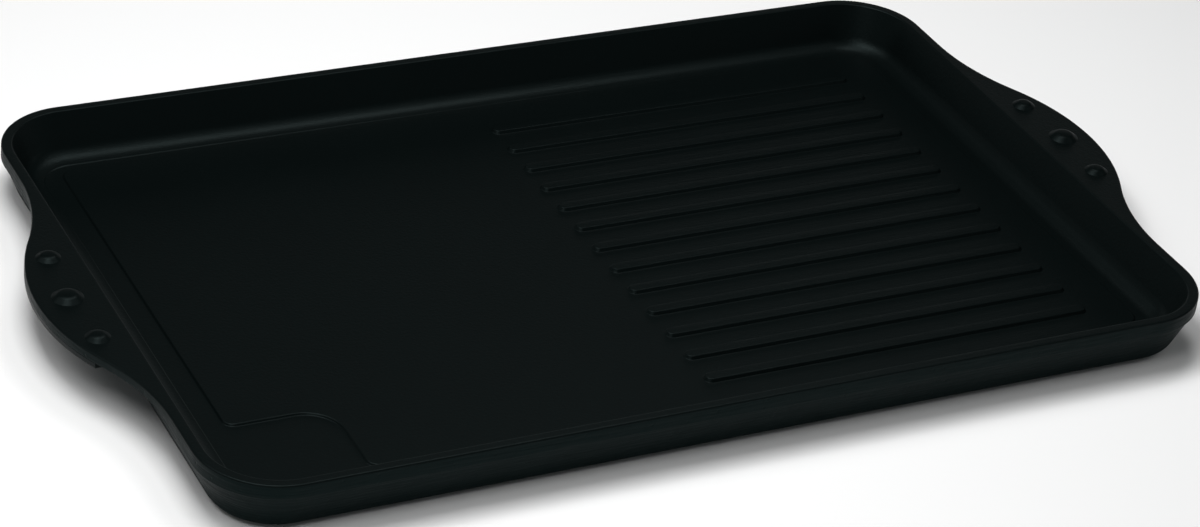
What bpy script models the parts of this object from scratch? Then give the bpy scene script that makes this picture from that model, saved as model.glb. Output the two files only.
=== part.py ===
"""Griddle plate: a cast tray with a smooth half and a ribbed half, and two side handles.

Metres, +Z up. +X runs along the plate to the ribbed half and +Y runs to the back, away from the
juice well. The origin is at the centre of the underside.
"""

from math import asin, atan2, cos, pi, sin, sqrt, tan

import bmesh
import bpy
from mathutils import Vector

# Rim
RIM_LENGTH = 0.427
RIM_WIDTH = 0.2816
RIM_CORNER_RADIUS = 0.032
RIM_EDGE_RADIUS = 0.0007
LAND_WIDTH_ENDS = 0.0045
LAND_WIDTH_SIDES = 0.0041
FLANGE_DEPTH = 0.0060
FLANGE_STEP = 0.0008

# Tray
TRAY_DEPTH = 0.0185
FLOOR_THICKNESS = 0.0060
WALL_DRAFT = 21.8 * pi / 180
COVE_RADIUS = 0.0082
BOTTOM_EDGE_RADIUS = 0.0080

# Raised cooking floor, gutter and juice well
PLATEAU_HEIGHT = 0.0008
GUTTER_WIDTH_WIDE = 0.0093
GUTTER_WIDTH_NARROW = 0.0040
WELL_LENGTH = 0.0506
WELL_WIDTH = 0.0493
PLATEAU_CORNER_RADIUS = 0.0070
WELL_CORNER_RADIUS = 0.0045
WELL_INNER_RADIUS = 0.0147

# Ribs
RIB_PITCH = 0.01663
RIB_FOOT_WIDTH = 0.0063
RIB_TOP_WIDTH = 0.0046
RIB_HEIGHT = 0.0013
RIB_CROWN_HEIGHT = 0.0002
RIB_LEAD = 0.0006
RIB_END_MARGIN = 0.0180
RIB_ROW_MARGIN = 0.0100

# Handles
HANDLE_REACH = 0.0220
HANDLE_BULGE_RADIUS = 0.094
HANDLE_ROOT_RADIUS = 0.097
WEB_THICKNESS = 0.0036
PAD_LENGTH = 0.082
PAD_THICKNESS = 0.0021

# Rivets
MIDDLE_RIVET_OFFSET = 0.0097
SIDE_RIVET_OFFSET = 0.0077
SIDE_RIVET_MARGIN = 0.0117
MIDDLE_HEAD_RADIUS = 0.0063
SIDE_HEAD_RADIUS = 0.0050
MIDDLE_HEAD_HEIGHT = 0.0018
SIDE_HEAD_HEIGHT = 0.0014
HEAD_CROWN_RADIUS = 0.0300
HEAD_EDGE_RADIUS = 0.0035
HEAD_SIDE_DRAFT = 55 * pi / 180
SHANK_RADIUS = 0.0022
TAIL_RADIUS = 0.0036
TAIL_THICKNESS = 0.0008

# Heat base
BASE_THICKNESS = 0.0015
BASE_MARGIN = 0.0100
BASE_CORNER_RADIUS = 0.0150

# Fits and fineness
CLEARANCE = 0.0003
CUT_OVERRUN = 0.0010
MERGE_DISTANCE = 0.00001
CORNER_STEPS = 10
ROOT_STEPS = 8
BULGE_STEPS = 26
FILLET_STEPS = 5
EDGE_STEPS = 2
RIB_END_STEPS = 8
RIVET_STEPS = 28
CROWN_STEPS = 3
HEAD_EDGE_STEPS = 3
ROUND_ANGLE = 30 * pi / 180

# Worked out from the sizes above
HEIGHT = TRAY_DEPTH + FLOOR_THICKNESS
HALF_LENGTH = RIM_LENGTH / 2
HALF_WIDTH = RIM_WIDTH / 2
INNER_HALF_LENGTH = HALF_LENGTH - LAND_WIDTH_ENDS
INNER_HALF_WIDTH = HALF_WIDTH - LAND_WIDTH_SIDES
INNER_CORNER_RADIUS = RIM_CORNER_RADIUS - (LAND_WIDTH_ENDS + LAND_WIDTH_SIDES) / 2
TURN_TANGENT = tan((pi / 2 - WALL_DRAFT) / 2)
FLOOR_INSET = TRAY_DEPTH * tan(WALL_DRAFT) + COVE_RADIUS * TURN_TANGENT
FLOOR_HALF_LENGTH = INNER_HALF_LENGTH - FLOOR_INSET
FLOOR_HALF_WIDTH = INNER_HALF_WIDTH - FLOOR_INSET
BOTTOM_INSET = (
    FLANGE_STEP
    + (HEIGHT - FLANGE_DEPTH) * tan(WALL_DRAFT)
    + BOTTOM_EDGE_RADIUS * TURN_TANGENT
)
GUTTER_LEVEL = HEIGHT - TRAY_DEPTH
PLATEAU_LEVEL = GUTTER_LEVEL + PLATEAU_HEIGHT
WEB_UNDERSIDE = HEIGHT - WEB_THICKNESS
PAD_TOP = WEB_UNDERSIDE - CLEARANCE
PAD_UNDERSIDE = PAD_TOP - PAD_THICKNESS
BULGE_CENTRE = HALF_LENGTH + HANDLE_REACH - HANDLE_BULGE_RADIUS
ROOT_CENTRE_X = HALF_LENGTH + HANDLE_ROOT_RADIUS
ROOT_CENTRE_Y = sqrt(
    (HANDLE_BULGE_RADIUS + HANDLE_ROOT_RADIUS) ** 2 - (ROOT_CENTRE_X - BULGE_CENTRE) ** 2
)
BULGE_HALF_ANGLE = atan2(ROOT_CENTRE_Y, ROOT_CENTRE_X - BULGE_CENTRE)


def make_collection(name):
    """Return a new collection linked to the scene."""
    collection = bpy.data.collections.new(name)
    bpy.context.scene.collection.children.link(collection)
    return collection


def make_material(name, colour, roughness, metallic):
    """Return a Principled material."""
    material = bpy.data.materials.new(name)
    material.use_nodes = True
    shader = material.node_tree.nodes["Principled BSDF"]
    shader.inputs["Base Color"].default_value = (*colour, 1.0)
    shader.inputs["Roughness"].default_value = roughness
    shader.inputs["Metallic"].default_value = metallic
    return material


def add_object(name, data, collection, material=None):
    """Put mesh or curve data in the scene as an object."""
    thing = bpy.data.objects.new(name, data)
    collection.objects.link(thing)
    if material is not None:
        data.materials.append(material)
    return thing


def mark_as_cutter(thing):
    """Hide a solid that only cuts or joins another one."""
    thing.hide_render = True
    thing.display_type = "WIRE"


def mesh_from(work, name):
    """Turn a bmesh into a mesh with its normals pointing out."""
    bmesh.ops.remove_doubles(work, verts=work.verts, dist=MERGE_DISTANCE)
    bmesh.ops.recalc_face_normals(work, faces=work.faces)
    mesh = bpy.data.meshes.new(name)
    work.to_mesh(mesh)
    work.free()
    return mesh


def add_loft(work, sections):
    """Add a closed loft to a bmesh. A section is a list of points and its height."""
    rings = [
        [work.verts.new((x, y, height)) for x, y in outline] for outline, height in sections
    ]
    for upper, lower in zip(rings, rings[1:]):
        for i, corner in enumerate(upper):
            j = (i + 1) % len(upper)
            work.faces.new((corner, upper[j], lower[j], lower[i]))
    work.faces.new(rings[0])
    work.faces.new(reversed(rings[-1]))


def loft_mesh(name, *solids):
    """Return one mesh that holds a closed loft for each list of sections."""
    work = bmesh.new()
    for sections in solids:
        add_loft(work, sections)
    return mesh_from(work, name)


def flat_solid(name, outline, low, high, collection, material=None):
    """Return a flat solid: a filled 2D curve, extruded, then made a mesh with welded caps."""
    curve = bpy.data.curves.new(name, "CURVE")
    curve.dimensions = "2D"
    curve.fill_mode = "BOTH"
    curve.extrude = (high - low) / 2
    spline = curve.splines.new("POLY")
    spline.points.add(len(outline) - 1)
    for point, (x, y) in zip(spline.points, outline):
        point.co = (x, y, 0, 1)
    spline.use_cyclic_u = True
    drawn = add_object(name + "_outline", curve, collection)
    drawn.location.z = (low + high) / 2
    bpy.context.view_layer.update()
    evaluated = drawn.evaluated_get(bpy.context.evaluated_depsgraph_get())
    mesh = bpy.data.meshes.new_from_object(evaluated)
    work = bmesh.new()
    work.from_mesh(mesh)
    bpy.data.meshes.remove(mesh)
    solid = add_object(name, mesh_from(work, name), collection, material)
    solid.matrix_world = drawn.matrix_world
    bpy.data.objects.remove(drawn)
    bpy.data.curves.remove(curve)
    return solid


def combine(target, operand, operation):
    """Add a Boolean modifier to the target."""
    modifier = target.modifiers.new(operand.name, "BOOLEAN")
    modifier.operation = operation
    modifier.solver = "EXACT"
    modifier.object = operand


def arc(centre, radius, start, end, steps):
    """Return the points of an arc, both ends included."""
    x, y = centre
    angles = [start + (end - start) * i / steps for i in range(steps + 1)]
    return [(x + radius * cos(angle), y + radius * sin(angle)) for angle in angles]


def rounded_rectangle(half_length, half_width, radius):
    """Return a rectangle with round corners, anticlockwise from the middle of its right side."""
    radius = min(radius, half_length, half_width)
    points = []
    for quarter in range(4):
        side_x = 1 if quarter in (0, 3) else -1
        side_y = 1 if quarter in (0, 1) else -1
        centre = (side_x * (half_length - radius), side_y * (half_width - radius))
        start = quarter * pi / 2
        points += arc(centre, radius, start, start + pi / 2, CORNER_STEPS)
    return points


def rounded_polygon(corners):
    """Return a polygon whose corners, given as x, y and radius, are round."""
    points = []
    for i, (x, y, radius) in enumerate(corners):
        corner = Vector((x, y))
        before = (Vector(corners[i - 1][:2]) - corner).normalized()
        after = (Vector(corners[(i + 1) % len(corners)][:2]) - corner).normalized()
        half_angle = before.angle(after) / 2
        centre = corner + (before + after).normalized() * radius / sin(half_angle)
        start = corner + before * radius / tan(half_angle) - centre
        end = corner + after * radius / tan(half_angle) - centre
        turn = start.angle_signed(end)
        first = atan2(start.y, start.x)
        points += arc(centre, radius, first, first - turn, CORNER_STEPS)
    return points


def stadium(start, end, middle_y, radius):
    """Return a bar outline along X with round ends."""
    return arc((end, middle_y), radius, -pi / 2, pi / 2, RIB_END_STEPS) + arc(
        (start, middle_y), radius, pi / 2, 3 * pi / 2, RIB_END_STEPS
    )


def handle_side(inset):
    """Return the outer edge of the right handle from front to back, moved in by the inset."""
    bulge = HANDLE_BULGE_RADIUS - inset
    root = HANDLE_ROOT_RADIUS + inset
    front = arc(
        (ROOT_CENTRE_X, -ROOT_CENTRE_Y), root, pi, pi - BULGE_HALF_ANGLE, ROOT_STEPS
    )
    middle = arc((BULGE_CENTRE, 0), bulge, -BULGE_HALF_ANGLE, BULGE_HALF_ANGLE, BULGE_STEPS)
    back = [(x, -y) for x, y in reversed(front)]
    return front + middle[1:-1] + back


def rim_outline(inset, with_handles):
    """Return the plate's outline, with the same number of points with or without handles."""
    side = handle_side(inset if with_handles else 0)
    if not with_handles:
        side = [(HALF_LENGTH - inset, y) for _, y in side]
    corner = arc(
        (HALF_LENGTH - RIM_CORNER_RADIUS, HALF_WIDTH - RIM_CORNER_RADIUS),
        RIM_CORNER_RADIUS - inset,
        0,
        pi / 2,
        CORNER_STEPS,
    )
    right_half = [(x, -y) for x, y in reversed(corner)] + side + corner
    return right_half + [(-x, y) for x, y in reversed(right_half)]


def wall_turn(radius, level):
    """Return (inset, height) pairs of the round turn from a drafted wall to a flat level.

    The inset is measured from where the wall would meet the level.
    """
    middle = radius * TURN_TANGENT
    turn = pi / 2 - WALL_DRAFT
    angles = [turn * i / FILLET_STEPS for i in range(FILLET_STEPS + 1)]
    return [
        (middle - radius * sin(turn - angle), level + radius * (1 - cos(turn - angle)))
        for angle in angles
    ]


def body_sections():
    """Return the sections of the plate's outside, from the rim's top to the underside."""
    sections = []
    for i in range(EDGE_STEPS + 1):
        angle = pi / 2 * i / EDGE_STEPS
        inset = RIM_EDGE_RADIUS * (1 - sin(angle))
        drop = RIM_EDGE_RADIUS * (1 - cos(angle))
        sections.append((rim_outline(inset, True), HEIGHT - drop))
    sections.append((rim_outline(0, True), WEB_UNDERSIDE))
    sections.append((rim_outline(0, False), WEB_UNDERSIDE))
    sections.append((rim_outline(0, False), HEIGHT - FLANGE_DEPTH))
    sections.append((rim_outline(FLANGE_STEP, False), HEIGHT - FLANGE_DEPTH))
    meeting = BOTTOM_INSET - BOTTOM_EDGE_RADIUS * TURN_TANGENT
    for inset, height in wall_turn(BOTTOM_EDGE_RADIUS, 0):
        sections.append((rim_outline(meeting + inset, False), height))
    return sections


def tray_sections():
    """Return the sections of the tray's hollow, from above the rim to the gutter."""

    def section(inset, height):
        outline = rounded_rectangle(
            INNER_HALF_LENGTH - inset, INNER_HALF_WIDTH - inset, INNER_CORNER_RADIUS - inset
        )
        return outline, height

    sections = [section(-RIM_EDGE_RADIUS, HEIGHT + CUT_OVERRUN)]
    turn = pi / 2 - WALL_DRAFT
    for i in range(EDGE_STEPS + 1):
        angle = turn * i / EDGE_STEPS
        inset = -RIM_EDGE_RADIUS * TURN_TANGENT + RIM_EDGE_RADIUS * sin(angle)
        sections.append(section(inset, HEIGHT - RIM_EDGE_RADIUS * (1 - cos(angle))))
    meeting = TRAY_DEPTH * tan(WALL_DRAFT)
    for inset, height in wall_turn(COVE_RADIUS, GUTTER_LEVEL):
        sections.append(section(meeting + inset, height))
    return sections


def plateau_outline():
    """Return the outline of the raised cooking floor, which steps round the juice well."""
    left = -FLOOR_HALF_LENGTH + GUTTER_WIDTH_WIDE
    front = -FLOOR_HALF_WIDTH + GUTTER_WIDTH_WIDE
    right = FLOOR_HALF_LENGTH - GUTTER_WIDTH_NARROW
    back = FLOOR_HALF_WIDTH - GUTTER_WIDTH_NARROW
    well_right = -FLOOR_HALF_LENGTH + WELL_LENGTH
    well_back = -FLOOR_HALF_WIDTH + WELL_WIDTH
    return rounded_polygon(
        [
            (left, back, PLATEAU_CORNER_RADIUS),
            (left, well_back, WELL_CORNER_RADIUS),
            (well_right, well_back, WELL_INNER_RADIUS),
            (well_right, front, WELL_CORNER_RADIUS),
            (right, front, PLATEAU_CORNER_RADIUS),
            (right, back, PLATEAU_CORNER_RADIUS),
        ]
    )


def rib_solids():
    """Return the sections of each rib, which stands in the raised floor."""
    start = RIB_FOOT_WIDTH / 2 - RIB_LEAD
    end = FLOOR_HALF_LENGTH - GUTTER_WIDTH_NARROW - RIB_END_MARGIN - RIB_FOOT_WIDTH / 2
    room = FLOOR_HALF_WIDTH - GUTTER_WIDTH_WIDE - RIB_ROW_MARGIN - RIB_FOOT_WIDTH / 2
    each_side = int(room / RIB_PITCH)
    shape = [
        (RIB_TOP_WIDTH / 2 - RIB_CROWN_HEIGHT, RIB_HEIGHT),
        (RIB_TOP_WIDTH / 2, RIB_HEIGHT - RIB_CROWN_HEIGHT),
        (RIB_FOOT_WIDTH / 2, 0),
        (RIB_FOOT_WIDTH / 2, -PLATEAU_HEIGHT),
    ]
    return [
        [(stadium(start, end, row * RIB_PITCH, radius), PLATEAU_LEVEL + z) for radius, z in shape]
        for row in range(-each_side, each_side + 1)
    ]


def rivet_places():
    """Return each rivet's name, centre, and head radius and height."""
    places = []
    for side, sign in (("left", -1), ("right", 1)):
        for where, step in (("front", -1), ("middle", 0), ("back", 1)):
            middle = step == 0
            offset = MIDDLE_RIVET_OFFSET if middle else SIDE_RIVET_OFFSET
            centre = (sign * (HALF_LENGTH + offset), step * (PAD_LENGTH / 2 - SIDE_RIVET_MARGIN))
            radius = MIDDLE_HEAD_RADIUS if middle else SIDE_HEAD_RADIUS
            height = MIDDLE_HEAD_HEIGHT if middle else SIDE_HEAD_HEIGHT
            places.append((f"grip_rivet_{side}_{where}", centre, radius, height))
    return places


def make_drill(name, radius, low, high, collection):
    """Return one cutter with a cylinder at every rivet."""
    work = bmesh.new()
    for _, (x, y), _, _ in rivet_places():
        made = bmesh.ops.create_cone(
            work,
            cap_ends=True,
            segments=RIVET_STEPS,
            radius1=radius,
            radius2=radius,
            depth=high - low,
        )
        bmesh.ops.translate(work, verts=made["verts"], vec=(x, y, (low + high) / 2))
    mesh = bpy.data.meshes.new(name)
    work.to_mesh(mesh)
    work.free()
    drill = add_object(name, mesh, collection)
    mark_as_cutter(drill)
    return drill


def make_casting(parts, cutters, material):
    """Make the tray with its rim, handle webs, cooking floor, ribs, gutter and well."""
    casting = add_object(
        "griddle_casting", loft_mesh("griddle_casting", body_sections()), parts, material
    )
    hollow = add_object("tray_hollow", loft_mesh("tray_hollow", tray_sections()), cutters)
    plateau = flat_solid(
        "cooking_floor", plateau_outline(), GUTTER_LEVEL - PLATEAU_HEIGHT, PLATEAU_LEVEL, cutters
    )
    ribs = add_object("ribs", loft_mesh("ribs", *rib_solids()), cutters)
    recess = flat_solid(
        "base_recess", base_outline(CLEARANCE), -CUT_OVERRUN, BASE_THICKNESS + CLEARANCE, cutters
    )
    for solid, operation in (
        (hollow, "DIFFERENCE"),
        (plateau, "UNION"),
        (ribs, "UNION"),
        (recess, "DIFFERENCE"),
    ):
        mark_as_cutter(solid)
        combine(casting, solid, operation)
    holes = make_drill(
        "web_holes",
        SHANK_RADIUS + CLEARANCE,
        WEB_UNDERSIDE - CUT_OVERRUN,
        HEIGHT + CUT_OVERRUN,
        cutters,
    )
    combine(casting, holes, "DIFFERENCE")
    casting.data.shade_smooth()
    casting.data.set_sharp_from_angle(angle=ROUND_ANGLE)


def base_outline(growth):
    """Return the outline of the heat base, grown all round for its recess."""
    half_length = HALF_LENGTH - BOTTOM_INSET - BASE_MARGIN + growth
    half_width = HALF_WIDTH - BOTTOM_INSET - BASE_MARGIN + growth
    return rounded_rectangle(half_length, half_width, BASE_CORNER_RADIUS + growth)


def make_heat_base(parts, material):
    """Make the flat plate let into the underside."""
    flat_solid("heat_base", base_outline(0), 0, BASE_THICKNESS, parts, material)


def make_grip_pad(name, sign, parts, cutters, material):
    """Make the pad under one handle, flush with the handle's outer edge."""
    inner = HALF_LENGTH + CLEARANCE
    half_angle = asin(PAD_LENGTH / 2 / HANDLE_BULGE_RADIUS)
    edge = arc((BULGE_CENTRE, 0), HANDLE_BULGE_RADIUS, -half_angle, half_angle, BULGE_STEPS)
    outline = [(inner, -PAD_LENGTH / 2)] + edge + [(inner, PAD_LENGTH / 2)]
    outline = [(sign * x, sign * y) for x, y in outline]
    pad = flat_solid(name, outline, PAD_UNDERSIDE, PAD_TOP, parts, material)
    combine(pad, cutters["pad_holes"], "DIFFERENCE")
    combine(pad, cutters["tail_seats"], "DIFFERENCE")


def head_profile(radius, height):
    """Return a rivet head's profile from its top to its foot: a crown, a round edge, a side."""
    reach = HEAD_CROWN_RADIUS - HEAD_EDGE_RADIUS
    side = (
        radius * cos(HEAD_SIDE_DRAFT)
        - HEAD_EDGE_RADIUS
        + (HEAD_CROWN_RADIUS - height) * sin(HEAD_SIDE_DRAFT)
    )
    crown = asin(side / reach) - HEAD_SIDE_DRAFT
    base = height - HEAD_CROWN_RADIUS
    top = arc((0, base), HEAD_CROWN_RADIUS, pi / 2, pi / 2 - crown, CROWN_STEPS)
    edge_centre = (reach * sin(crown), base + reach * cos(crown))
    edge = arc(edge_centre, HEAD_EDGE_RADIUS, pi / 2 - crown, HEAD_SIDE_DRAFT, HEAD_EDGE_STEPS)
    return top + edge[1:] + [(radius, 0)]


def make_rivet(name, centre, head_radius, head_height, parts, material):
    """Make one rivet: a crowned head on the web, its shank, and its tail sunk in the pad."""
    seat = HEIGHT + CLEARANCE
    profile = [(width, seat + z) for width, z in head_profile(head_radius, head_height)]
    tail_low = PAD_UNDERSIDE
    tail_high = tail_low + TAIL_THICKNESS
    profile += [
        (SHANK_RADIUS, seat),
        (SHANK_RADIUS, tail_high),
        (TAIL_RADIUS, tail_high),
        (TAIL_RADIUS, tail_low),
        (0, tail_low),
    ]
    mesh = bpy.data.meshes.new(name)
    edges = [(i, i + 1) for i in range(len(profile) - 1)]
    mesh.from_pydata([(radius, 0, height) for radius, height in profile], edges, [])
    rivet = add_object(name, mesh, parts, material)
    rivet.location = (*centre, 0)
    turned = rivet.modifiers.new("Turned", "SCREW")
    turned.steps = RIVET_STEPS
    turned.render_steps = RIVET_STEPS
    turned.use_merge_vertices = True
    turned.merge_threshold = MERGE_DISTANCE
    turned.use_smooth_shade = False


def main():
    """Build the whole plate."""
    for thing in list(bpy.data.objects):
        bpy.data.objects.remove(thing, do_unlink=True)
    parts = make_collection("griddle_plate")
    cutters = make_collection("cutters")
    coating = make_material("non_stick_coating", (0.010, 0.013, 0.013), 0.42, 0.0)
    pad_coat = make_material("pad_coating", (0.010, 0.013, 0.013), 0.45, 0.0)
    rivet_coat = make_material("rivet_coating", (0.012, 0.015, 0.015), 0.35, 0.0)
    steel = make_material("base_steel", (0.48, 0.48, 0.47), 0.35, 1.0)

    make_casting(parts, cutters, coating)
    make_heat_base(parts, steel)
    drills = {
        "pad_holes": make_drill(
            "pad_holes",
            SHANK_RADIUS + CLEARANCE,
            PAD_UNDERSIDE - CUT_OVERRUN,
            PAD_TOP + CUT_OVERRUN,
            cutters,
        ),
        "tail_seats": make_drill(
            "tail_seats",
            TAIL_RADIUS + CLEARANCE,
            PAD_UNDERSIDE - CUT_OVERRUN,
            PAD_UNDERSIDE + TAIL_THICKNESS + CLEARANCE,
            cutters,
        ),
    }
    make_grip_pad("grip_pad_left", -1, parts, drills, pad_coat)
    make_grip_pad("grip_pad_right", 1, parts, drills, pad_coat)
    for name, centre, radius, height in rivet_places():
        make_rivet(name, centre, radius, height, parts, rivet_coat)


main()
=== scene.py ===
"""Looks of the griddle plate: its finished pieces, their coatings, and a plain stage."""

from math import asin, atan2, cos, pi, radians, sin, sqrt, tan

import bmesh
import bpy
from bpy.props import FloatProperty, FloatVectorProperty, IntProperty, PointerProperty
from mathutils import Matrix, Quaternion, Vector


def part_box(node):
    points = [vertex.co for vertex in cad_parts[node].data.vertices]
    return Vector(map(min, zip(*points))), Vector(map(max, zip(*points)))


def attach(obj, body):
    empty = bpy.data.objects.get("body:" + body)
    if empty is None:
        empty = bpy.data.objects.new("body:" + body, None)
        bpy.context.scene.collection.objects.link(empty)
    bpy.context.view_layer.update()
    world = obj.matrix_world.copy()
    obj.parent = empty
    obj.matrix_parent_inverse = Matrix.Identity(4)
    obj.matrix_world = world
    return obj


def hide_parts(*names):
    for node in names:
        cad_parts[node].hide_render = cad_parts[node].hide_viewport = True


bl_info = {
    "name": "Griddle Plate",
    "version": (1, 0, 0),
    "blender": (4, 5, 0),
    "location": "View3D > Sidebar > Griddle",
    "description": "Finishes the griddle plate on its fixed frame and sets it on a plain stage",
    "category": "Object",
}

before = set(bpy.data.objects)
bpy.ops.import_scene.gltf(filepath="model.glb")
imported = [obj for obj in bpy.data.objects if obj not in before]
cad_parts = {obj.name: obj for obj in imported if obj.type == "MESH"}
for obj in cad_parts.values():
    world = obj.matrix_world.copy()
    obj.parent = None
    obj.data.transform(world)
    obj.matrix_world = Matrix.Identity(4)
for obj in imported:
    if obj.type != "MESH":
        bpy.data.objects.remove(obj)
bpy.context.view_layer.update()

BODY = "root"
CASTING_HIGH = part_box("griddle_casting")[1]
BASE_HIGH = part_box("heat_base")[1]
PAD_LOW, PAD_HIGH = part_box("grip_pad_right")
RIVETS = [
    f"grip_rivet_{side}_{place}"
    for side in ("left", "right")
    for place in ("front", "middle", "back")
]
PHOTO_WIDTH = 1200
PHOTO_HEIGHT = 527

# Mesh making
MERGE_DISTANCE = 0.000001
CORNER_STEPS = 28
ROOT_STEPS = 14
BULGE_STEPS = 48
TURN_STEPS = 8
EDGE_STEPS = 5
QUARTER_TURN = [pi / 2 * i / EDGE_STEPS for i in range(EDGE_STEPS + 1)]
TRAY_FINISH = 0
SIDE_FINISH = 1

# Rings beside a round edge that keep the flat next to it flat, in edge radii or widths
RIM_LAP = 1.5
CREASE_LAP = 2.5
FLOOR_LAP = 1.2
BASE_LAP = 3
PAD_LAPS = (1.6, 2.6)

# The foot of a rib: how deep it begins in the floor, and the skirt that rises out of it
RIB_SINK = 0.0003
RIB_SKIRT = 0.0006
RIB_SKIRT_LOW = -0.00003
RIB_SKIRT_HIGH = 0.00002

# Masks in the materials: slopes per metre, the place where drag lines end, a pit's slope per cell
STREAK_SLOPE = 60.0
STREAK_END = 0.1916667
LOW_SLOPE = 90.0
PIT_SLOPE = 6.0

# Area lamps aimed at the plate's middle: name, place, width and depth, power
AREA_LAMPS = [
    ("soft_box", (-0.23, 0.02, 0.86), (0.40, 0.44), 5.3),
    ("front_box", (-0.39, -0.39, 0.71), (0.36, 0.36), 1.7),
    ("right_box", (0.26, 0.20, 0.86), (0.32, 0.36), 2.1),
]

# Broad far lamps: name, azimuth from +Y to +X, elevation and breadth in degrees, power
FAR_LAMPS = [
    ("side_glow", 300, 51, 32, 0.48),
    ("fill_glow", 120, 51, 32, 0.21),
]


def length(name, description, default):
    """Return a property that holds a length in metres."""
    return FloatProperty(
        name=name, description=description, default=default, min=0.0, unit="LENGTH", precision=5
    )


def angle(name, description, default):
    """Return a property that holds an angle."""
    return FloatProperty(
        name=name, description=description, default=default, subtype="ANGLE", precision=3
    )


def factor(name, description, default):
    """Return a property between nought and one."""
    return FloatProperty(
        name=name, description=description, default=default, min=0.0, max=1.0, subtype="FACTOR"
    )


def colour(name, description, default):
    """Return a colour property."""
    return FloatVectorProperty(
        name=name, description=description, default=default, size=3, min=0.0, max=1.0,
        subtype="COLOR",
    )


class GriddleTray(bpy.types.PropertyGroup):
    """Sizes of the cast tray."""

    rim_length: length("Rim length", "Length of the rim without the handles", 0.427)
    corner_radius: length("Corner radius", "Outer radius of the rim's corners", 0.032)
    land_ends: length("Rim width, ends", "Width of the rim's flat top at the two ends", 0.0045)
    land_sides: length("Rim width, sides", "Width of the rim's flat top at front and back", 0.0041)
    outer_edge: length("Outer edge", "Radius of the rim's outer top edge", 0.0007)
    inner_edge: length("Inner edge", "Radius of the rim's inner top edge", 0.0009)
    flange_depth: length("Flange depth", "Height of the rim's upright outer band", 0.0060)
    flange_step: length("Flange step", "How far the wall steps in under the band", 0.0008)
    flange_edge: length("Flange edge", "Radius of the band's lower edge", 0.0005)
    tray_depth: length("Tray depth", "Depth of the gutter below the rim", 0.0185)
    wall_draft: angle("Wall draft", "Lean of the walls from upright", radians(21.8))
    cove_radius: length("Cove radius", "Radius of the hollow corner round the floor", 0.0082)
    bottom_radius: length("Bottom radius", "Radius of the outer bottom edge", 0.0080)
    crease_step: length("Crease step", "Drop from the cove to the gutter", 0.00028)
    crease_width: length("Crease width", "Width of that drop", 0.0005)
    crease_top: length("Crease top", "Radius at the top of that drop", 0.000112)
    crease_foot: length("Crease foot", "Radius at the foot of that drop", 0.000168)
    crease_start: FloatProperty(
        name="Crease start",
        description="Where the drop begins to fade, from the middle",
        default=-0.14,
        unit="LENGTH",
    )
    crease_fade: length("Crease fade", "Length over which it fades out", 0.20)


class GriddleFloor(bpy.types.PropertyGroup):
    """Sizes of the raised cooking floor, the juice well and the ribs."""

    height: length("Floor height", "Height of the cooking floor above the gutter", 0.0008)
    edge: length("Floor edge", "Radius of the cooking floor's edge", 0.0006)
    foot_edge: length("Floor foot", "Radius at the foot of that edge", 0.00048)
    edge_run: length("Floor edge run", "Width of that edge's slope", 0.0006)
    gutter_wide: length("Wide gutter", "Gutter at the left and front", 0.0093)
    gutter_narrow: length("Narrow gutter", "Gutter at the right and back", 0.0040)
    well_length: length("Well length", "Length of the juice well", 0.0506)
    well_width: length("Well width", "Width of the juice well", 0.0493)
    corner_radius: length("Floor corner", "Radius of the floor's own corners", 0.0070)
    well_corner: length("Well corner", "Radius where the well meets the gutter", 0.0045)
    well_inner: length("Well hollow corner", "Radius of the well's inner corner", 0.0147)
    rib_pitch: length("Rib pitch", "Distance between two ribs", 0.01663)
    rib_foot: length("Rib foot", "Width of a rib at its foot", 0.0063)
    rib_top: length("Rib top", "Width of a rib at its top", 0.0046)
    rib_height: length("Rib height", "Height of a rib above the floor", 0.0013)
    rib_crown: length("Rib crown", "How much the middle of a rib's top stands up", 0.00006)
    rib_foot_edge: length("Rib foot edge", "Radius at a rib's foot", 0.0002)
    rib_top_edge: length("Rib top edge", "Radius of a rib's upper edge", 0.0004)
    rib_lead: length("Rib lead", "How far left of the middle the ribs begin", 0.0006)
    rib_end_margin: length("Rib end margin", "Floor left beyond the ribs' right ends", 0.0180)
    rib_count: IntProperty(name="Ribs", description="Number of ribs", default=13, min=1)


class GriddleHandle(bpy.types.PropertyGroup):
    """Sizes of the handles, their grip pads and rivets."""

    bulge_radius: length("Bulge radius", "Radius of the handle's outer edge", 0.094)
    root_radius: length("Root radius", "Radius where the handle runs into the rim", 0.097)
    web_thickness: length("Web thickness", "Thickness of the handle", 0.0036)
    web_fillet: length("Web fillet", "Radius between the handle's underside and the rim", 0.0010)
    web_low_edge: length("Web lower edge", "Radius of the handle's lower edge", 0.00015)
    pad_edge: length("Pad edge", "Radius of the grip pad's lower edge", 0.0006)
    pad_gap: length("Pad gap", "Gap between the grip pad and the handle", 0.00004)
    head_crown: length("Rivet crown", "Radius of a rivet head's slightly round top", 0.0300)
    head_edge: length("Rivet edge", "Radius of a rivet head's upper edge", 0.0035)
    head_draft: angle("Rivet draft", "Lean of a rivet head's side from upright", radians(55))
    head_sink: length("Rivet sink", "How far a rivet head reaches into the handle", 0.0006)
    shank_share: factor("Rivet shank", "Width of a rivet's shank as a share of its head", 0.45)


class GriddleBase(bpy.types.PropertyGroup):
    """Sizes of the heat base and its recess."""

    corner_radius: length("Base corner", "Radius of the heat base's corners", 0.015)
    edge: length("Base edge", "Radius of the heat base's lower edge and of its recess", 0.0003)
    bend: length("Base bend", "Distance of that edge's middle from both sides", 0.00009)
    gap: length("Base gap", "Gap between the heat base and its recess", 0.00008)


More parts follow.
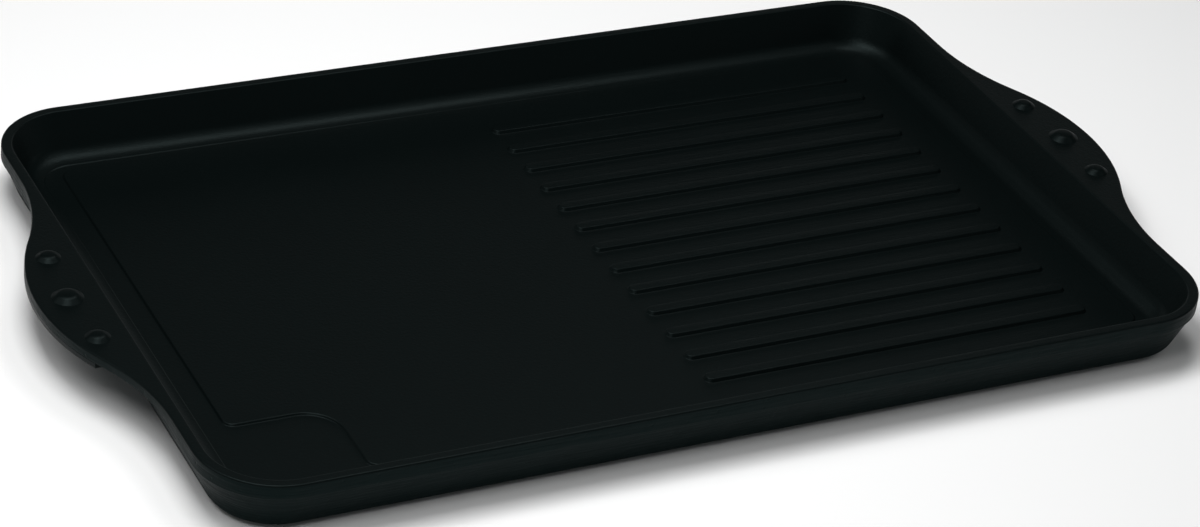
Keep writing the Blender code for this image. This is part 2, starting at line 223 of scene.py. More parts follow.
class GriddleFinish(bpy.types.PropertyGroup):
    """Colours and gloss of the surfaces."""

    coating: colour("Coating", "Colour of the black coating", (0.0014, 0.0026, 0.0026))
    # Painted sheen: the outside coating is lighter and more teal than the same coating inside, standing
    # in for the teal tint of its grazing reflections.
    side_coating_painted_sheen: colour("Side coating", "Colour of the coating outside", (0.0014, 0.0046, 0.0046))
    tint: colour("Sheen tint", "Tint of the coatings' reflections", (0.74, 1.0, 1.0))
    coating_roughness: factor("Coating roughness", "Roughness of the coating inside", 0.38)
    side_roughness: factor("Side roughness", "Roughness of the coating outside", 0.50)
    rivet_roughness: factor("Rivet roughness", "Roughness of the coating on the rivets", 0.36)
    coating_gloss: factor("Coating gloss", "Specular level of the coating inside", 0.072)
    side_gloss: factor("Side gloss", "Specular level of the coating outside", 0.062)
    rivet_gloss: factor("Rivet gloss", "Specular level of the coating on the rivets", 0.052)
    grain_size: length("Grain size", "Size of the coating's fine grain", 0.0006)
    speckle_size: length("Speckle size", "Size of the coating's coarser speckle", 0.00132)
    side_grain_size: length("Side grain size", "Size of the grain outside", 0.00084)
    steel: colour("Steel", "Colour of the ground steel base", (0.42, 0.42, 0.41))
    steel_roughness: factor("Steel roughness", "Roughness of the steel base", 0.36)


class GriddleStage(bpy.types.PropertyGroup):
    """The floor, the room and the camera."""

    floor_colour: colour("Floor", "Colour of the pale floor", (0.88, 0.88, 0.88))
    floor_size: length("Floor size", "Width of the floor", 30.0)
    room_low: colour("Room, low", "Colour of the room low down", (0.50, 0.53, 0.53))
    room_high: colour("Room, high", "Colour of the room higher up", (0.01, 0.01, 0.01))
    room_low_end: factor("Room low end", "Height at which the low colour ends", 0.20)
    room_high_start: factor("Room high start", "Height at which the high colour begins", 0.40)
    camera_place: FloatVectorProperty(
        name="Camera place",
        description="Camera place from the middle of the rim's top",
        default=(-0.5942, -1.0715, 0.7194),
        size=3,
        subtype="TRANSLATION",
    )
    camera_azimuth: angle("Camera azimuth", "Direction of view, from +Y to +X", radians(28.726))
    camera_elevation: angle("Camera elevation", "How far down the camera looks", radians(30.940))
    camera_roll: angle("Camera roll", "Turn of the camera about its view", radians(6.383))
    focal_pixels: FloatProperty(
        name="Focal length", description="Focal length in pixels of the photo", default=3518.9
    )
    centre_x: FloatProperty(
        name="Centre column", description="Column where the lens looks straight", default=579.15
    )
    centre_y: FloatProperty(
        name="Centre row", description="Row where the lens looks straight", default=241.81
    )


def sizes(name):
    """Return one of the scene's property groups."""
    return getattr(bpy.context.scene, "griddle_" + name)


class Value:
    """A node's socket with arithmetic: an expression on values adds its Math nodes."""

    def __init__(self, tree, socket):
        self.tree = tree
        self.socket = socket

    def maths(self, operation, other):
        """Return the result of one Math node."""
        node = self.tree.nodes.new("ShaderNodeMath")
        node.operation = operation
        connect(self.tree, node.inputs[0], self)
        connect(self.tree, node.inputs[1], other)
        return Value(self.tree, node.outputs[0])

    def __add__(self, other):
        return self.maths("ADD", other)

    def __radd__(self, other):
        return self + other

    def __sub__(self, other):
        return self.maths("SUBTRACT", other)

    def __rsub__(self, other):
        return self * -1.0 + other

    def __mul__(self, other):
        return self.maths("MULTIPLY", other)

    def __rmul__(self, other):
        return self * other

    def clipped(self):
        """Return the value kept between nought and one."""
        return self.maths("MAXIMUM", 0.0).maths("MINIMUM", 1.0)


def connect(tree, slot, item):
    """Link a value to a socket, or set the socket to a number, a colour or a material."""
    if isinstance(item, Value):
        tree.links.new(item.socket, slot)
    elif item is not None:
        slot.default_value = item


class Graph:
    """A node tree under construction."""

    def __init__(self, tree):
        self.tree = tree
        tree.nodes.clear()

    def node(self, kind, settings=None, inputs=None, output=0):
        """Add a node, with its settings and then its sockets, and return one of its outputs."""
        made = self.tree.nodes.new(kind)
        for key, setting in (settings or {}).items():
            if key == "stops":
                for stop, (position, tone) in zip(made.color_ramp.elements, setting):
                    stop.position = position
                    stop.color = tone
            else:
                setattr(made, key, setting)
        for key, item in (inputs or {}).items():
            connect(self.tree, made.inputs[key], item)
        return Value(self.tree, made.outputs[output]) if made.outputs else None

    def part(self, vector, axis):
        """Return one part of a vector: 0, 1 or 2 for x, y or z."""
        return self.node("ShaderNodeSeparateXYZ", {}, {"Vector": vector}, axis)


class Shading(Graph):
    """A material under construction."""

    def __init__(self, name):
        self.material = bpy.data.materials.new(name)
        self.material.use_nodes = True
        super().__init__(self.material.node_tree)

    def place(self, scale=(1.0, 1.0, 1.0)):
        """Return the object's own coordinates, in metres, stretched by a scale."""
        spot = self.node("ShaderNodeTexCoord", output=3)
        return self.node("ShaderNodeMapping", {}, {"Vector": spot, "Scale": scale})

    def noise(self, vector, size, detail=2.0, roughness=0.5):
        """Return noise whose features are about as large as a size."""
        inputs = {"Vector": vector, "Scale": 1.0 / size, "Detail": detail, "Roughness": roughness}
        return self.node("ShaderNodeTexNoise", {}, inputs)

    def pits(self, vector, size):
        """Return scattered spots, one to a cell of a size, which are one in their middles."""
        inputs = {"Vector": vector, "Scale": 1.0 / size}
        away = self.node("ShaderNodeTexVoronoi", {"feature": "F1"}, inputs)
        return (1.0 - away * PIT_SLOPE).clipped()

    def bump(self, height, distance, strength, below=None):
        """Return a normal raised by a height, over another normal where one is given."""
        inputs = {"Height": height, "Distance": distance, "Strength": strength, "Normal": below}
        return self.node("ShaderNodeBump", {}, inputs)

    def tone(self, mask, rgb, low, high):
        """Return a colour that varies with a mask between two shades of itself."""
        inputs = {0: mask, 6: shade(rgb, low), 7: shade(rgb, high)}
        return self.node("ShaderNodeMix", {"data_type": "RGBA"}, inputs, 2)

    def finish(self, inputs):
        """Add the surface shader and return the material."""
        surface = self.node("ShaderNodeBsdfPrincipled", {}, inputs)
        self.node("ShaderNodeOutputMaterial", {}, {"Surface": surface})
        return self.material


def shade(rgb, amount=1.0):
    """Return a colour made lighter or darker, with full alpha."""
    return (*[part * amount for part in rgb], 1.0)


def varied(mask, middle, spread):
    """Return a value that varies with a mask evenly about its middle."""
    return mask * spread + (middle - spread / 2)


def coated(make, tone, roughness, gloss, normal):
    """Finish a material as the black coating, whose reflections are a little tinted."""
    return make.finish(
        {
            "Base Color": tone,
            "Roughness": roughness,
            "Specular IOR Level": gloss,
            "Specular Tint": shade(sizes("finish").tint),
            "Normal": normal,
        }
    )


def tray_coating():
    """Return the coating inside the tray and on the handles: fine grain, and drag lines by the ribs."""
    if "tray_coating" in bpy.data.materials:
        return bpy.data.materials["tray_coating"]
    finish = sizes("finish")
    make = Shading("tray_coating")
    spot = make.place()
    grain = make.noise(spot, finish.grain_size, detail=2.0, roughness=0.6)
    cloud = make.noise(spot, size=0.045, detail=3.0, roughness=0.55)
    speckle = make.noise(spot, finish.speckle_size, detail=1.0)
    across = make.part(spot, 0)
    ribbed = (across * STREAK_SLOPE).clipped() * ((STREAK_END - across) * STREAK_SLOPE).clipped()
    along = make.place((0.05, 1.0, 1.0))
    streaks = make.noise(along, size=0.0013, detail=3.0, roughness=0.6) * ribbed
    pits = make.pits(spot, size=0.0035)
    normal = make.bump(streaks, distance=0.00016, strength=0.6)
    normal = make.bump(speckle, distance=0.00013, strength=0.55, below=normal)
    normal = make.bump(grain, distance=0.00008, strength=0.55, below=normal)
    normal = make.bump(pits * -1.0, distance=0.00006, strength=0.25, below=normal)
    tone = make.tone(cloud, finish.coating, 0.88, 1.12)
    roughness = varied(grain, finish.coating_roughness, spread=0.10)
    return coated(make, tone, roughness, finish.coating_gloss, normal)


def rivet_coating():
    """Return the coating on the rivet heads, which are smoother than the casting."""
    finish = sizes("finish")
    make = Shading("rivet_coating")
    grain = make.noise(make.place(), finish.grain_size, detail=2.0, roughness=0.6)
    normal = make.bump(grain, distance=0.00004, strength=0.4)
    tone = make.tone(grain, finish.coating, 0.9, 1.1)
    roughness = varied(grain, finish.rivet_roughness, spread=0.06)
    return coated(make, tone, roughness, finish.rivet_gloss, normal)


def side_coating_painted_sheen():
    """Return the coating outside: casting marks and drag lines, rougher towards the bottom, with a
    painted teal sheen in its colour, which is lighter than the same coating inside.
    """
    finish = sizes("finish")
    make = Shading("side_coating_painted_sheen")
    spot = make.place()
    grain = make.noise(spot, finish.side_grain_size, detail=3.0, roughness=0.65)
    lines = make.noise(make.place((0.06, 0.06, 1.0)), size=0.0011)
    waves = make.noise(spot, size=0.012)
    pits = make.pits(spot, size=0.0045)
    low = (1.0 - make.part(spot, 2) * LOW_SLOPE).clipped()
    normal = make.bump(lines, distance=0.00040, strength=0.8)
    normal = make.bump(grain, distance=0.00010, strength=0.6, below=normal)
    normal = make.bump(waves, distance=0.00120, strength=0.5, below=normal)
    normal = make.bump(pits * -1.0, distance=0.00030, strength=0.7, below=normal)
    # This colour carries a painted sheen: lighter and more teal than the coating inside, in place of
    # tinted grazing reflections.
    tone = make.tone(waves, finish.side_coating_painted_sheen, 0.9, 1.25)
    roughness = varied(grain, finish.side_roughness, spread=0.12) + low * 0.35
    return coated(make, tone, roughness, finish.side_gloss, normal)


def ground_steel():
    """Return steel ground flat, with fine lines along the plate."""
    finish = sizes("finish")
    make = Shading("ground_steel")
    lines = make.noise(make.place((0.02, 1.0, 1.0)), size=0.00045, detail=3.0, roughness=0.6)
    cloud = make.noise(make.place(), size=0.06, detail=3.0)
    return make.finish(
        {
            "Base Color": make.tone(cloud, finish.steel, 0.85, 1.08),
            "Metallic": 1.0,
            "Roughness": varied(lines, finish.steel_roughness, spread=0.16),
            "Normal": make.bump(lines, distance=0.00003, strength=0.5),
        }
    )


def arc(centre, radius, start, end, steps):
    """Return the points of an arc, both ends included."""
    x, y = centre
    turns = [start + (end - start) * i / steps for i in range(steps + 1)]
    return [(x + radius * cos(turn), y + radius * sin(turn)) for turn in turns]


def rounded_path(corners, steps, closed=False):
    """Return a path whose corners, given as x, y and radius, are turned with arcs."""
    points = []
    count = len(corners)
    for i, (x, y, radius) in enumerate(corners):
        at_end = not closed and i in (0, count - 1)
        if radius == 0 or at_end:
            points.append((x, y))
            continue
        corner = Vector((x, y))
        before = (Vector(corners[i - 1][:2]) - corner).normalized()
        after = (Vector(corners[(i + 1) % count][:2]) - corner).normalized()
        half = before.angle(after) / 2
        centre = corner + (before + after).normalized() * radius / sin(half)
        start = corner + before * radius / tan(half) - centre
        end = corner + after * radius / tan(half) - centre
        first = atan2(start.y, start.x)
        turn = start.angle_signed(end)
        points += arc(centre, radius, first, first - turn, steps)
    return points


class Outline:
    """The plate's outlines, each with the same number of points in the same order."""

    def __init__(self):
        self.tray = tray = sizes("tray")
        self.handle = handle = sizes("handle")
        self.half_length = tray.rim_length / 2
        self.half_width = CASTING_HIGH.y
        self.height = CASTING_HIGH.z
        self.gutter = self.height - tray.tray_depth
        self.floor_top = self.gutter + sizes("floor").height
        self.slope = tan(tray.wall_draft)
        self.cove_run = tray.cove_radius * tan((pi / 2 - tray.wall_draft) / 2)
        self.inner_half_length = self.half_length - tray.land_ends
        self.inner_half_width = self.half_width - tray.land_sides
        self.inner_corner = tray.corner_radius - (tray.land_ends + tray.land_sides) / 2
        self.bulge_centre = CASTING_HIGH.x - handle.bulge_radius
        self.root_x = self.half_length + handle.root_radius
        apart = handle.bulge_radius + handle.root_radius
        self.root_y = sqrt(apart ** 2 - (self.root_x - self.bulge_centre) ** 2)
        self.half_turn = atan2(self.root_y, self.root_x - self.bulge_centre)
        self.stations = [y for _, y in self.handle_side(0)]

    def handle_side(self, inset):
        """Return the right handle's outer edge from front to back, moved in by the inset."""
        bulge = self.handle.bulge_radius - inset
        root = self.handle.root_radius + inset
        front = arc((self.root_x, -self.root_y), root, pi, pi - self.half_turn, ROOT_STEPS)
        middle = arc((self.bulge_centre, 0), bulge, -self.half_turn, self.half_turn, BULGE_STEPS)
        back = [(x, -y) for x, y in reversed(front)]
        return front + middle[1:-1] + back

    def closed(self, half_length, half_width, radius, side):
        """Return the whole outline from its corner sizes and its right side's points."""
        centre = (half_length - radius, half_width - radius)
        corner = arc(centre, radius, 0, pi / 2, CORNER_STEPS)
        right = [(x, -y) for x, y in reversed(corner)] + side + corner
        return right + [(-x, y) for x, y in reversed(right)]

    def rectangle(self, half_length, half_width, radius):
        """Return a rectangle with round corners."""
        side = [(half_length, y) for y in self.stations]
        return self.closed(half_length, half_width, radius, side)

    def rim(self, inset):
        """Return the rim without its handles, moved in by the inset."""
        return self.rectangle(
            self.half_length - inset, self.half_width - inset, self.tray.corner_radius - inset
        )

    def hollow(self, inset):
        """Return the tray's hollow, moved in by the inset."""
        return self.rectangle(
            self.inner_half_length - inset, self.inner_half_width - inset, self.inner_corner - inset
        )

    def with_handles(self, inset, rim_inset=0.0, reach=1.0):
        """Return the rim with its handles, each moved in, and the handles cut at a reach."""
        base = self.half_length - rim_inset
        far = self.half_length + reach
        side = [(min(max(base, x), far), y) for x, y in self.handle_side(inset)]
        corner = self.tray.corner_radius - rim_inset
        return self.closed(base, self.half_width - rim_inset, corner, side)


def add_rings(work, rings, finish=0, join_to=None):
    """Add a loft of rings, each a list of points and its height, and return its two end rings."""
    made = []
    before = join_to
    for outline, height in rings:
        ring = [work.verts.new((x, y, height)) for x, y in outline]
        if before is not None:
            for i, corner in enumerate(before):
                j = (i + 1) % len(before)
                face = work.faces.new((corner, before[j], ring[j], ring[i]))
                face.material_index = finish
        made.append(ring)
        before = ring
    return made[0], made[-1]


def show(name, data):
    """Put a new object in the scene and return it."""
    made = bpy.data.objects.new(name, data)
    bpy.context.scene.collection.objects.link(made)
    return made


def piece_from(work, name, materials, sharp=40):
    """Turn a bmesh into a smooth piece of the object, with edges sharper than an angle kept."""
    bmesh.ops.remove_doubles(work, verts=work.verts, dist=MERGE_DISTANCE)
    bmesh.ops.recalc_face_normals(work, faces=work.faces)
    mesh = bpy.data.meshes.new(name)
    work.to_mesh(mesh)
    work.free()
    for material in materials:
        mesh.materials.append(material)
    mesh.shade_smooth()
    mesh.set_sharp_from_angle(angle=radians(sharp))
    return show(name, mesh)


def capped_piece(name, rings, materials, sharp=40):
    """Return a closed piece made of rings with a flat cap at each end."""
    work = bmesh.new()
    first, last = add_rings(work, rings)
    work.faces.new(last)
    work.faces.new(reversed(first))
    return piece_from(work, name, materials, sharp)


def carry(piece, node):
    """Let a piece ride on the plate and stand for a CAD node."""
    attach(piece, BODY)
    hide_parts(node)


def outer_rings(outline):
    """Return the rings of the plate's outside, from the flat bottom up to the handles."""
    tray = outline.tray
    below = outline.height - tray.flange_depth
    meeting = tray.flange_step + below * outline.slope
    path = rounded_path(
        [
            (meeting + tray.bottom_radius, 0, 0),
            (meeting, 0, tray.bottom_radius),
            (tray.flange_step, below, tray.flange_edge),
            (0, below, tray.flange_edge),
            (0, below + tray.flange_edge * 2, 0),
        ],
        TURN_STEPS,
    )
    return [(outline.rim(inset), height) for inset, height in path]


def handle_rings(outline):
    """Return the rings from under the handles up their outer edge, and those of the rim's top."""
    handle = outline.handle
    fillet = handle.web_fillet
    low = handle.web_low_edge
    top = outline.tray.outer_edge
    underside = outline.height - handle.web_thickness
    sides = []
    for turn in QUARTER_TURN:
        ring = outline.with_handles(0, reach=fillet * (1 - cos(turn)))
        sides.append((ring, underside - fillet * (1 - sin(turn))))
    for turn in QUARTER_TURN:
        ring = outline.with_handles(low * (1 - sin(turn)))
        sides.append((ring, underside + low * (1 - cos(turn))))
    tops = []
    for turn in QUARTER_TURN:
        inset = top * (1 - cos(turn))
        ring = outline.with_handles(inset, inset)
        tops.append((ring, outline.height - top * (1 - sin(turn))))
    tops.append((outline.with_handles(top * RIM_LAP, top * RIM_LAP), outline.height))
    return sides + tops[:1], tops[1:]


def hollow_rings(outline):
    """Return the rings of the tray's hollow, from the rim's top to the gutter."""
    tray = outline.tray
    ledge = outline.gutter + tray.crease_step
    meeting = (tray.tray_depth - tray.crease_step) * outline.slope
    crease = meeting + outline.cove_run + tray.crease_width / 2
    path = rounded_path(
        [
            (-tray.inner_edge * RIM_LAP, outline.height, 0),
            (0, outline.height, tray.inner_edge),
            (meeting, ledge, tray.cove_radius),
            (crease, ledge, tray.crease_top),
            (crease + tray.crease_width, outline.gutter, tray.crease_foot),
            (crease + tray.crease_width * CREASE_LAP, outline.gutter, 0),
        ],
        TURN_STEPS,
    )
    return [(outline.hollow(inset), height) for inset, height in path]


def fade_crease(work, outline):
    """Let the crease round the gutter run out towards the ribbed end."""
    tray = outline.tray
    ledge = outline.gutter + tray.crease_step
    for corner in work.verts:
        x, _, z = corner.co
        gone = min(max((x - tray.crease_start) / tray.crease_fade, 0.0), 1.0)
        above = max(z - ledge, 0.0) / tray.cove_radius
        below = max(ledge - z, 0.0) / tray.crease_step
        if above < 1 and below < 1 and x < outline.inner_half_length:
            corner.co.z -= tray.crease_step * gone * (1 - above) * (1 - below)


def floor_corners(outline, inset):
    """Return the raised floor's corners as x, y and radius, moved in by an inset."""
    floor = sizes("floor")
    wall = outline.tray.tray_depth * outline.slope + outline.cove_run
    half_length = outline.inner_half_length - wall
    half_width = outline.inner_half_width - wall
    left = -half_length + floor.gutter_wide + inset
    front = -half_width + floor.gutter_wide + inset
    right = half_length - floor.gutter_narrow - inset
    back = half_width - floor.gutter_narrow - inset
    well_right = -half_length + floor.well_length + inset
    well_back = -half_width + floor.well_width + inset
    outer = floor.corner_radius - inset
    return [
        (left, back, outer),
        (left, well_back, floor.well_corner - inset),
        (well_right, well_back, floor.well_inner + inset),
        (well_right, front, floor.well_corner - inset),
        (right, front, outer),
        (right, back, outer),
    ]


def floor_rings(outline):
    """Return the rings of the raised floor's edge, from its foot to its top."""
    floor = sizes("floor")
    path = rounded_path(
        [
            (-floor.edge * FLOOR_LAP, outline.gutter, 0),
            (-floor.edge_run / 2, outline.gutter, floor.foot_edge),
            (floor.edge_run / 2, outline.floor_top, floor.edge),
            (floor.edge * FLOOR_LAP, outline.floor_top, 0),
        ],
        EDGE_STEPS,
    )
    return [
        (rounded_path(floor_corners(outline, inset), CORNER_STEPS // 2, closed=True), height)
        for inset, height in path
    ]


def recess_rings(outline):
    """Return the rings of the recess for the heat base, from its ceiling to the underside."""
    base = sizes("base")
    shape = [
        (base.gap, BASE_HIGH.z + base.gap),
        (base.gap, base.edge),
        (base.gap + base.edge, 0),
        (base.gap + base.edge * BASE_LAP, 0),
    ]
    return [(base_outline(outline, -out), height) for out, height in shape]


def base_outline(outline, inset):
    """Return the heat base's outline, moved in by the inset."""
    radius = sizes("base").corner_radius - inset
    return outline.rectangle(BASE_HIGH.x - inset, BASE_HIGH.y - inset, radius)


class GRIDDLE_OT_tray(bpy.types.Operator):
    """Make the cast tray: walls, rim, handle webs, gutter, juice well and raised floor"""

    bl_idname = "griddle.tray"
    bl_label = "Cast tray"

    def execute(self, context):
        outline = Outline()
        work = bmesh.new()
        sides, tops = handle_rings(outline)
        ceiling, last = add_rings(work, recess_rings(outline), SIDE_FINISH)
        work.faces.new(ceiling).material_index = SIDE_FINISH
        last = add_rings(work, outer_rings(outline), SIDE_FINISH, last)[1]
        last = add_rings(work, sides, SIDE_FINISH, last)[1]
        last = add_rings(work, tops, TRAY_FINISH, last)[1]
        gutter = add_rings(work, hollow_rings(outline), TRAY_FINISH, last)[1]
        fade_crease(work, outline)
        foot, top = add_rings(work, floor_rings(outline), TRAY_FINISH)
        work.faces.new(top)
        edges = []
        for ring in (gutter, foot):
            for i, corner in enumerate(ring):
                after = ring[(i + 1) % len(ring)]
                edges.append(work.edges.get((corner, after)) or work.edges.new((corner, after)))
        bmesh.ops.triangle_fill(work, edges=edges, use_beauty=True)
        tray = piece_from(work, "cast_tray", [tray_coating(), side_coating_painted_sheen()])
        carry(tray, "griddle_casting")
        return {"FINISHED"}


def rib_tree(material):
    """Return the node tree that sets a row of ribs side by side and joins them."""
    tree = bpy.data.node_groups.new("rib_row", "GeometryNodeTree")
    face = tree.interface
    face.new_socket("Geometry", in_out="INPUT", socket_type="NodeSocketGeometry")
    count = face.new_socket("Count", in_out="INPUT", socket_type="NodeSocketInt")
    pitch = face.new_socket("Pitch", in_out="INPUT", socket_type="NodeSocketFloat")
    face.new_socket("Geometry", in_out="OUTPUT", socket_type="NodeSocketGeometry")
    row = Graph(tree)
    one_rib = row.node("NodeGroupInput", output="Geometry")
    ribs = row.node("NodeGroupInput", output="Count")
    apart = row.node("NodeGroupInput", output="Pitch")
    width = (ribs - 1.0) * apart
    line = row.node(
        "GeometryNodeMeshLine",
        {},
        {
            "Count": ribs,
            "Start Location": row.node("ShaderNodeCombineXYZ", {}, {"Y": width * -0.5}),
            "Offset": row.node("ShaderNodeCombineXYZ", {}, {"Y": apart}),
        },
    )
    spread = row.node("GeometryNodeInstanceOnPoints", {}, {"Points": line, "Instance": one_rib})
    joined = row.node("GeometryNodeRealizeInstances", {}, {"Geometry": spread})
    paint = row.node("GeometryNodeSetMaterial", {}, {"Geometry": joined, "Material": material})
    row.node("NodeGroupOutput", {}, {"Geometry": paint})
    return tree, count.identifier, pitch.identifier


def rib_profile(floor, top):
    """Return a rib's rings as half width and height, from under the floor to its top."""
    foot = floor.rib_foot / 2
    path = rounded_path(
        [
            (foot + RIB_SKIRT, RIB_SKIRT_LOW, 0),
            (foot, RIB_SKIRT_HIGH, floor.rib_foot_edge),
            (floor.rib_top / 2, floor.rib_height, floor.rib_top_edge),
            (floor.rib_top / 4, floor.rib_height + floor.rib_crown, 0),
        ],
        EDGE_STEPS,
    )
    return [(path[0][0], top - RIB_SINK)] + [(width, top + height) for width, height in path]


class GRIDDLE_OT_ribs(bpy.types.Operator):
    """Make the row of ribs on the right half of the floor"""

    bl_idname = "griddle.ribs"
    bl_label = "Ribs"

    def execute(self, context):
        outline = Outline()
        floor = sizes("floor")
        right = floor_corners(outline, 0)[-1][0]
        start = floor.rib_foot / 2 - floor.rib_lead
        end = right - floor.rib_end_margin - floor.rib_foot / 2
        rings = []
        for radius, height in rib_profile(floor, outline.floor_top):
            bar = arc((end, 0), radius, -pi / 2, pi / 2, CORNER_STEPS // 2)
            bar += arc((start, 0), radius, pi / 2, 3 * pi / 2, CORNER_STEPS // 2)
            rings.append((bar, height))
        rib = capped_piece("one_rib", rings, [tray_coating()])
        tree, count, pitch = rib_tree(tray_coating())
        row = rib.modifiers.new("Row", "NODES")
        row.node_group = tree
        row[count] = floor.rib_count
        row[pitch] = floor.rib_pitch
        context.view_layer.update()
        evaluated = rib.evaluated_get(context.evaluated_depsgraph_get())
        mesh = bpy.data.meshes.new_from_object(evaluated)
        bpy.data.objects.remove(rib)
        carry(show("floor_ribs", mesh), "griddle_casting")
        return {"FINISHED"}


def pad_outline(outline, inset):
    """Return the right grip pad's outline, moved in by the inset: a straight side and a bow."""
    radius = outline.handle.bulge_radius - inset
    reach = PAD_HIGH.y - inset
    inner = PAD_LOW.x + inset
    turn = asin(reach / radius)
    bow = arc((outline.bulge_centre, 0), radius, -turn, turn, BULGE_STEPS)
    return [(inner, -reach)] + bow + [(inner, reach)]


class GRIDDLE_OT_pads(bpy.types.Operator):
    """Make the grip pad under each handle"""

    bl_idname = "griddle.pads"
    bl_label = "Grip pads"

    def execute(self, context):
        outline = Outline()
        handle = outline.handle
        edge = handle.pad_edge
        low = PAD_LOW.z
        shape = [(0, outline.height - handle.web_thickness - handle.pad_gap)]
        shape += [(edge * (1 - cos(turn)), low + edge * (1 - sin(turn))) for turn in QUARTER_TURN]
        shape += [(edge * lap, low) for lap in PAD_LAPS]
        for side, sign in (("left", -1), ("right", 1)):
            rings = []
            for inset, height in shape:
                points = pad_outline(outline, inset)
                rings.append(([(sign * x, sign * y) for x, y in points], height))
            pad = capped_piece(f"grip_pad_{side}_finished", rings, [tray_coating()], 30)
            carry(pad, f"grip_pad_{side}")
        return {"FINISHED"}


def head_profile(radius, height, handle):
    """Return a rivet head's profile from its foot to its top: a side, a round edge, a crown."""
    crown, edge, draft = handle.head_crown, handle.head_edge, handle.head_draft
    reach = crown - edge
    side = radius * cos(draft) - edge + (crown - height) * sin(draft)
    lean = asin(side / reach) - draft
    base = height - crown
    edge_centre = (reach * sin(lean), base + reach * cos(lean))
    turned = arc(edge_centre, edge, draft, pi / 2 - lean, TURN_STEPS)
    top = arc((0, base), crown, pi / 2 - lean, pi / 2, TURN_STEPS)
    return [(radius, 0)] + turned + top[1:-1]


class GRIDDLE_OT_rivets(bpy.types.Operator):
    """Make the domed rivets of both handles"""

    bl_idname = "griddle.rivets"
    bl_label = "Rivets"

    def execute(self, context):
        handle = sizes("handle")
        web_top = CASTING_HIGH.z
        buried = web_top - handle.head_sink
        coating = rivet_coating()
        for name in RIVETS:
            low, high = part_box(name)
            centre = (low + high) / 2
            radius = (high.x - low.x) / 2
            shank = radius * handle.shank_share
            head = head_profile(radius, high.z - web_top, handle)
            profile = [(shank, low.z), (shank, buried), (radius, buried)]
            profile += [(width, web_top + z) for width, z in head]
            rings = [
                (arc((centre.x, centre.y), width, 0, 2 * pi, CORNER_STEPS * 2)[:-1], height)
                for width, height in profile
            ]
            rivet = capped_piece(name + "_finished", rings, [coating], 50)
            carry(rivet, name)
        return {"FINISHED"}


class GRIDDLE_OT_base(bpy.types.Operator):
    """Make the ground steel base let into the underside"""

    bl_idname = "griddle.base"
    bl_label = "Heat base"

    def execute(self, context):
        outline = Outline()
        base = sizes("base")
        shape = [
            (0, BASE_HIGH.z),
            (0, base.edge),
            (base.bend, base.bend),
            (base.edge, 0),
            (base.edge * BASE_LAP, 0),
        ]
        rings = [(base_outline(outline, inset), height) for inset, height in shape]
        plate = capped_piece("heat_base_finished", rings, [ground_steel()], 30)
        carry(plate, "heat_base")
        return {"FINISHED"}


def direction(azimuth, elevation):
    """Return the direction at an azimuth, from +Y to +X, and an elevation."""
    across = cos(elevation)
    return Vector((sin(azimuth) * across, cos(azimuth) * across, sin(elevation)))


def add_lamp(name, kind, place, power):
    """Add a lamp at a place, aimed at the plate's middle, and return its data."""
    lamp = bpy.data.lights.new(name, kind)
    lamp.energy = power
    made = show(name, lamp)
    made.location = place
    made.rotation_mode = "QUATERNION"
    made.rotation_quaternion = (-Vector(place)).to_track_quat("-Z", "Y")
    return lamp


def make_floor():
    """Make the pale floor that the plate stands on."""
    stage = sizes("stage")
    half = stage.floor_size / 2
    work = bmesh.new()
    corners = [(-half, -half), (half, -half), (half, half), (-half, half)]
    work.faces.new([work.verts.new((x, y, 0)) for x, y in corners])
    make = Shading("pale_floor")
    tone = make.tone(make.noise(make.place(), size=0.4), stage.floor_colour, 0.985, 1.0)
    paint = make.finish({"Base Color": tone, "Roughness": 0.9, "Specular IOR Level": 0.1})
    floor = piece_from(work, "pale_floor", [paint])
    if floor.data.polygons[0].normal.z < 0:
        floor.data.flip_normals()


def make_room():
    """Make the room round the stage: pale low down, dark higher up."""
    stage = sizes("stage")
    world = bpy.data.worlds.new("room")
    world.use_nodes = True
    room = Graph(world.node_tree)
    height = room.part(room.node("ShaderNodeTexCoord"), 2)
    stops = [
        (stage.room_low_end, shade(stage.room_low)),
        (stage.room_high_start, shade(stage.room_high)),
    ]
    tone = room.node("ShaderNodeValToRGB", {"stops": stops}, {"Fac": height})
    glow = room.node("ShaderNodeBackground", {}, {"Color": tone})
    room.node("ShaderNodeOutputWorld", {}, {"Surface": glow})
    bpy.context.scene.world = world


def make_camera():
    """Put the camera where the photo was taken from."""
    stage = sizes("stage")
    camera = bpy.data.cameras.new("photo_camera")
    camera.sensor_width = 36.0
    camera.lens = stage.focal_pixels / PHOTO_WIDTH * camera.sensor_width
    camera.shift_x = (PHOTO_WIDTH / 2 - stage.centre_x) / PHOTO_WIDTH
    camera.shift_y = (stage.centre_y - PHOTO_HEIGHT / 2) / PHOTO_WIDTH
    camera.clip_start = 0.05
    camera.clip_end = 100.0
    made = show("photo_camera", camera)
    made.location = Vector(stage.camera_place) + Vector((0, 0, CASTING_HIGH.z))
    ahead = direction(stage.camera_azimuth, -stage.camera_elevation)
    level = ahead.to_track_quat("-Z", "Y")
    made.rotation_mode = "QUATERNION"
    made.rotation_quaternion = Quaternion(ahead, -stage.camera_roll) @ level
    bpy.context.scene.camera = made


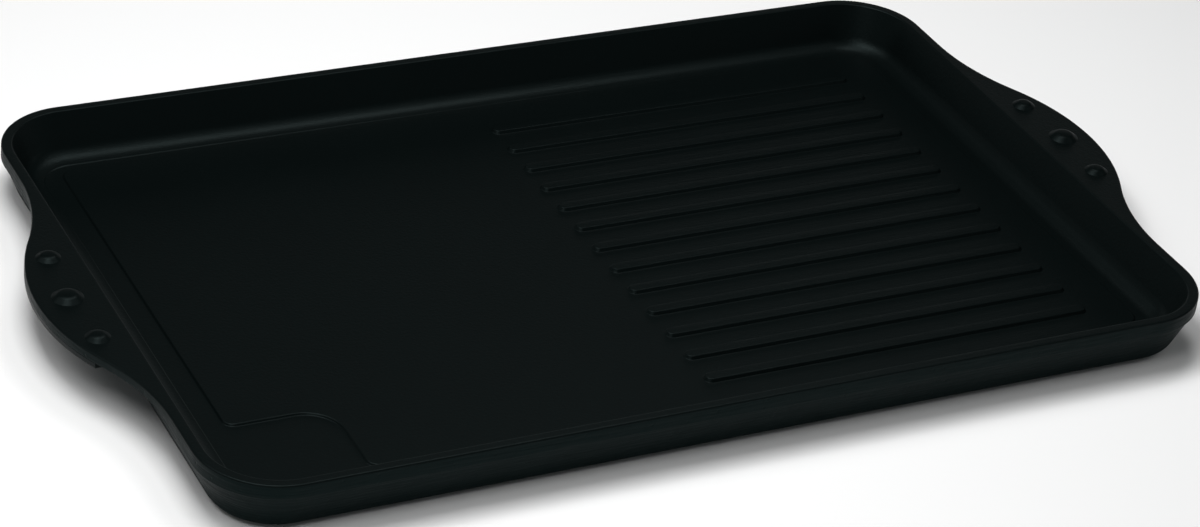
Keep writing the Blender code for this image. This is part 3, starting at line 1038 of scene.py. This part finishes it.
class GRIDDLE_OT_stage(bpy.types.Operator):
    """Set the plate on a pale floor under soft lamps, with the photo's camera"""

    bl_idname = "griddle.stage"
    bl_label = "Stage"

    def execute(self, context):
        make_floor()
        for name, place, size, power in AREA_LAMPS:
            lamp = add_lamp(name, "AREA", place, power)
            lamp.shape = "RECTANGLE"
            lamp.size, lamp.size_y = size
        for name, azimuth, elevation, breadth, power in FAR_LAMPS:
            place = direction(radians(azimuth), radians(elevation))
            add_lamp(name, "SUN", place, power).angle = radians(breadth)
        make_room()
        make_camera()
        context.scene.view_settings.view_transform = "Standard"
        return {"FINISHED"}


class GRIDDLE_PT_panel(bpy.types.Panel):
    """Lists the plate's pieces, its stage and their sizes"""

    bl_idname = "GRIDDLE_PT_panel"
    bl_label = "Griddle plate"
    bl_space_type = "VIEW_3D"
    bl_region_type = "UI"
    bl_category = "Griddle"

    def draw(self, context):
        for operator in OPERATORS:
            self.layout.operator(operator.bl_idname)
        for name in GROUPS:
            group = sizes(name)
            box = self.layout.box()
            for key in group.__annotations__:
                box.prop(group, key)


GROUPS = {
    "tray": GriddleTray,
    "floor": GriddleFloor,
    "handle": GriddleHandle,
    "base": GriddleBase,
    "finish": GriddleFinish,
    "stage": GriddleStage,
}
OPERATORS = [
    GRIDDLE_OT_tray,
    GRIDDLE_OT_ribs,
    GRIDDLE_OT_pads,
    GRIDDLE_OT_rivets,
    GRIDDLE_OT_base,
    GRIDDLE_OT_stage,
]


def register():
    """Register the classes and hang the property groups on the scene."""
    for group in (*GROUPS.values(), *OPERATORS, GRIDDLE_PT_panel):
        bpy.utils.register_class(group)
    for name, group in GROUPS.items():
        setattr(bpy.types.Scene, "griddle_" + name, PointerProperty(type=group))


def unregister():
    """Take away what register added."""
    for name in GROUPS:
        delattr(bpy.types.Scene, "griddle_" + name)
    for group in (GRIDDLE_PT_panel, *reversed(OPERATORS), *reversed(GROUPS.values())):
        bpy.utils.unregister_class(group)


def main():
    """Make every piece and the stage."""
    register()
    bpy.ops.griddle.tray()
    bpy.ops.griddle.ribs()
    bpy.ops.griddle.pads()
    bpy.ops.griddle.rivets()
    bpy.ops.griddle.base()
    bpy.ops.griddle.stage()


if __name__ == "__main__":
    main()
